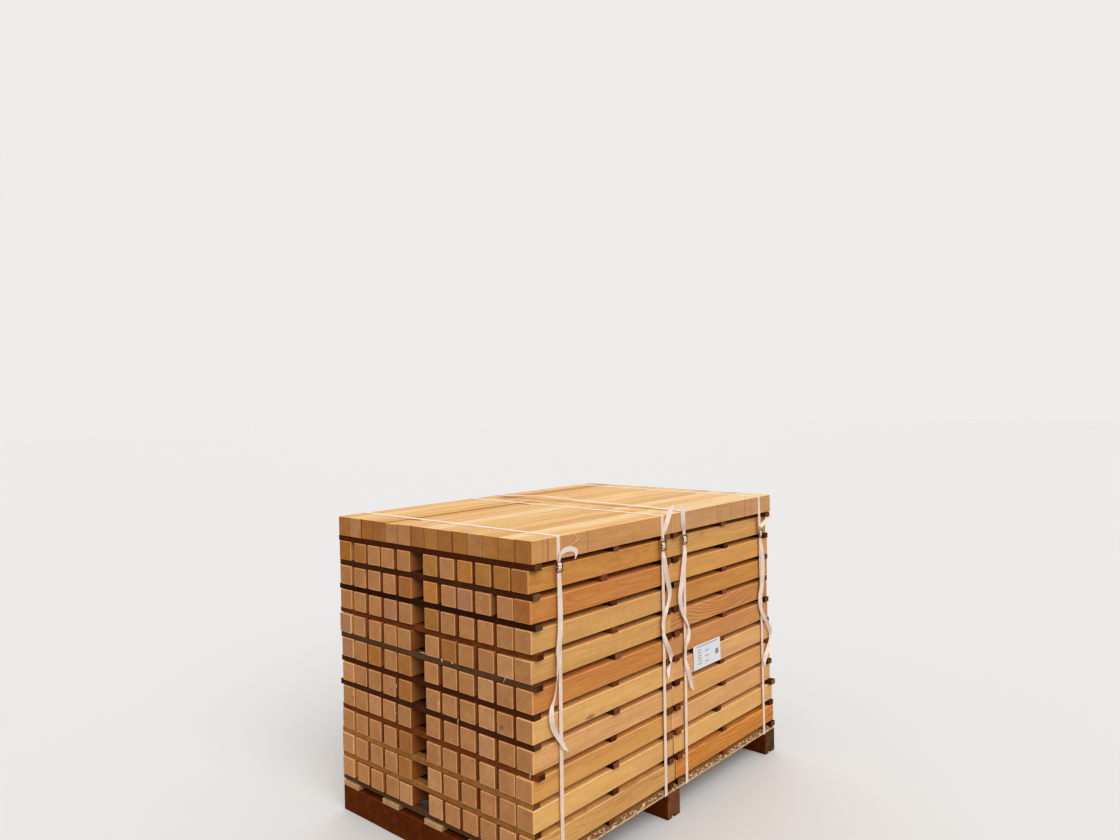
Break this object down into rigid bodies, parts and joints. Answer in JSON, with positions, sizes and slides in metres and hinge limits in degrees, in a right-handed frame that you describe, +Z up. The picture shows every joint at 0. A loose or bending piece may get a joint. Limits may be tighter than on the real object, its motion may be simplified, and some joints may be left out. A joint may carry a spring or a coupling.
{
  "type": "stack of lumber",
  "caption": "Strapped stack of square sawn lumber in spaced layers on deck boards and cross bearers, with wire buckles, loose strap ends and a blank label.",
  "frame": {"origin": "middle of the base, on the ground, halfway along and across the stack", "axes": "+X across the stack towards the long side with the buckles, +Y along the beams away from the near end, +Z up"},
  "size_m": [1.1964, 1.746, 1.3313],
  "materials": {
    "sawn_lumber": "rough sawn, pale tan to orange",
    "sticker_wood": "rough, dark brown",
    "deck_wood": "rough sawn, cream tan",
    "bearer_wood": "rough, weathered reddish brown",
    "woven_strap": "woven cord, off-white",
    "buckle_wire": "dark phosphated wire",
    "label_card": "matte, pale blue-grey"
  },
  "bodies": {
    "root": {"beams_layer_01_far": "sawn_lumber", "beams_layer_01_near": "sawn_lumber", "beams_layer_02_far": "sawn_lumber", "beams_layer_02_near": "sawn_lumber", "beams_layer_03_far": "sawn_lumber", "beams_layer_03_near": "sawn_lumber", "beams_layer_04_far": "sawn_lumber", "beams_layer_04_near": "sawn_lumber", "beams_layer_05_far": "sawn_lumber", "beams_layer_05_near": "sawn_lumber", "beams_layer_06_far": "sawn_lumber", "beams_layer_06_near": "sawn_lumber", "beams_layer_07_far": "sawn_lumber", "beams_layer_07_near": "sawn_lumber", "beams_layer_08_far": "sawn_lumber", "beams_layer_08_near": "sawn_lumber", "beams_layer_09_far": "sawn_lumber", "beams_layer_09_near": "sawn_lumber", "beams_layer_10_far": "sawn_lumber", "beams_layer_10_near": "sawn_lumber", "beams_layer_11_far": "sawn_lumber", "beams_layer_11_near": "sawn_lumber", "bearer_far": "bearer_wood", "bearer_middle": "bearer_wood", "bearer_near": "bearer_wood", "buckle_1": "buckle_wire", "buckle_2": "buckle_wire", "buckle_3": "buckle_wire", "buckle_4": "buckle_wire", "deck_board_1": "deck_wood", "deck_board_2": "deck_wood", "deck_board_3": "deck_wood", "deck_board_4": "deck_wood", "deck_board_5": "deck_wood", "label_sheet": "label_card", "stickers_level_01": "sticker_wood", "stickers_level_02": "sticker_wood", "stickers_level_03": "sticker_wood", "stickers_level_04": "sticker_wood", "stickers_level_05": "sticker_wood", "stickers_level_06": "sticker_wood", "stickers_level_07": "sticker_wood", "stickers_level_08": "sticker_wood", "stickers_level_09": "sticker_wood", "stickers_level_10": "sticker_wood", "stickers_level_11": "sticker_wood", "strap_1": "woven_strap", "strap_2": "woven_strap", "strap_3": "woven_strap", "strap_4": "woven_strap", "strap_end_down_1": "woven_strap", "strap_end_down_2": "woven_strap", "strap_end_down_3": "woven_strap", "strap_end_down_4": "woven_strap", "strap_end_up_1": "woven_strap", "strap_end_up_2": "woven_strap", "strap_end_up_3": "woven_strap", "strap_end_up_4": "woven_strap"}
  },
  "joints": []
}
